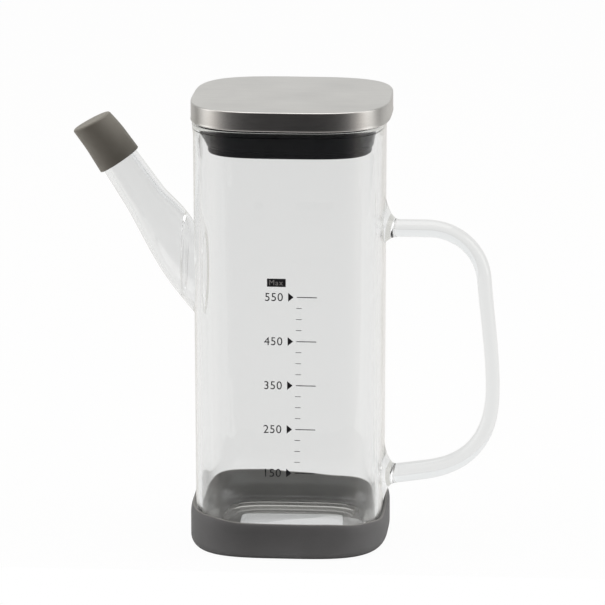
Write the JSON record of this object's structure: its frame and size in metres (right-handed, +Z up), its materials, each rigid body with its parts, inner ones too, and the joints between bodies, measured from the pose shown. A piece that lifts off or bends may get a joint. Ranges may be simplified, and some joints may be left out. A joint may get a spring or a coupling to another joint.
{
  "type": "oil bottle",
  "caption": "Rounded square glass oil bottle with a slanted pouring spout and its cap, a glass loop handle, a lift-off steel-topped lid with a black seal, and a grey soft boot.",
  "frame": {"origin": "on the jar's vertical axis, on the surface the boot stands on", "axes": "+Z up; +X towards the handle; -X towards the spout; -Y the face that carries the volume scale"},
  "size_m": [0.1825, 0.0848, 0.1938],
  "materials": {
    "borosilicate_glass": "clear, fire-polished",
    "brushed_stainless_steel": "satin",
    "black_polypropylene": "matte",
    "black_silicone": "satin",
    "grey_silicone": "matte",
    "warm_grey_silicone": "matte"
  },
  "bodies": {
    "boot": {"base_boot": "grey_silicone"},
    "bottle": {"glass_vessel": "borosilicate_glass", "pouring_spout": "borosilicate_glass", "glass_handle": "borosilicate_glass"},
    "lid": {"lid_shell": "brushed_stainless_steel", "lid_core": "black_polypropylene", "lid_seal": "black_silicone"},
    "cap": {"spout_cap": "warm_grey_silicone"}
  },
  "joints": [
    {"name": "bottle_lift", "type": "slide", "parent": "boot", "child": "bottle", "axis": [0, 0, 1], "range_m": [0, 0.04]},
    {"name": "lid_lift", "type": "slide", "parent": "bottle", "child": "lid", "axis": [0, 0, 1], "range_m": [0, 0.06]},
    {"name": "cap_pull", "type": "slide", "parent": "bottle", "child": "cap", "axis": [-0.5577, 0, 0.83], "range_m": [0, 0.035]}
  ]
}
